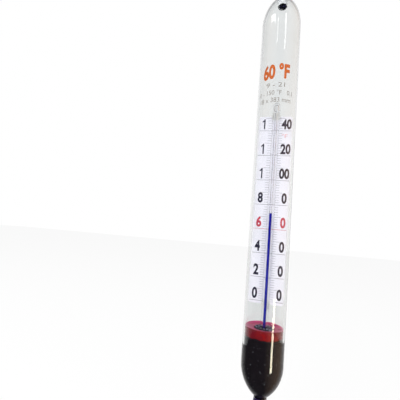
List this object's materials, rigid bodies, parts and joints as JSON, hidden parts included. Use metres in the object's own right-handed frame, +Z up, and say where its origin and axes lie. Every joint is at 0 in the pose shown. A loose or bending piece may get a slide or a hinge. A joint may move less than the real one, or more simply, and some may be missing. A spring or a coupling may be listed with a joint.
{
  "type": "thermohydrometer",
  "caption": "Sealed glass thermohydrometer: weighted float with an enclosed thermometer and card scale, and a slim stem with a rolled paper density scale.",
  "frame": {"origin": "lowest point of the thermometer bulb, on the instrument's axis", "axes": "+Z up the stem, as the instrument floats; both printed scales face -Y"},
  "size_m": [0.018, 0.018, 0.383],
  "materials": {
    "clear_glass": "fire-polished, clear",
    "blue_spirit": "dark blue dyed spirit, wet",
    "scale_card": "smooth white card",
    "scale_paper": "smooth white paper",
    "white_cement": "dull white",
    "black_pitch": "black, slightly glossy",
    "grey_grit": "dark steel grains, wet with pitch",
    "red_wax": "deep red, waxy"
  },
  "bodies": {
    "instrument": {"body_shell": "clear_glass", "stem_tube": "clear_glass", "thermometer_bulb": "clear_glass", "capillary_tube": "clear_glass", "bulb_liquid": "blue_spirit", "liquid_column": "blue_spirit", "thermometer_card": "scale_card", "card_cement": "white_cement", "ballast_pitch": "black_pitch", "ballast_grit": "grey_grit", "sealing_wax": "red_wax", "stem_scale_roll": "scale_paper", "stem_scale_wax": "black_pitch"},
    "column_top": {"column_meniscus": "blue_spirit"}
  },
  "joints": [
    {"name": "column_rise", "type": "slide", "parent": "instrument", "child": "column_top", "axis": [0, 0, 1], "range_m": [-0.03896, 0.04572], "deforming": ["liquid_column"]}
  ]
}
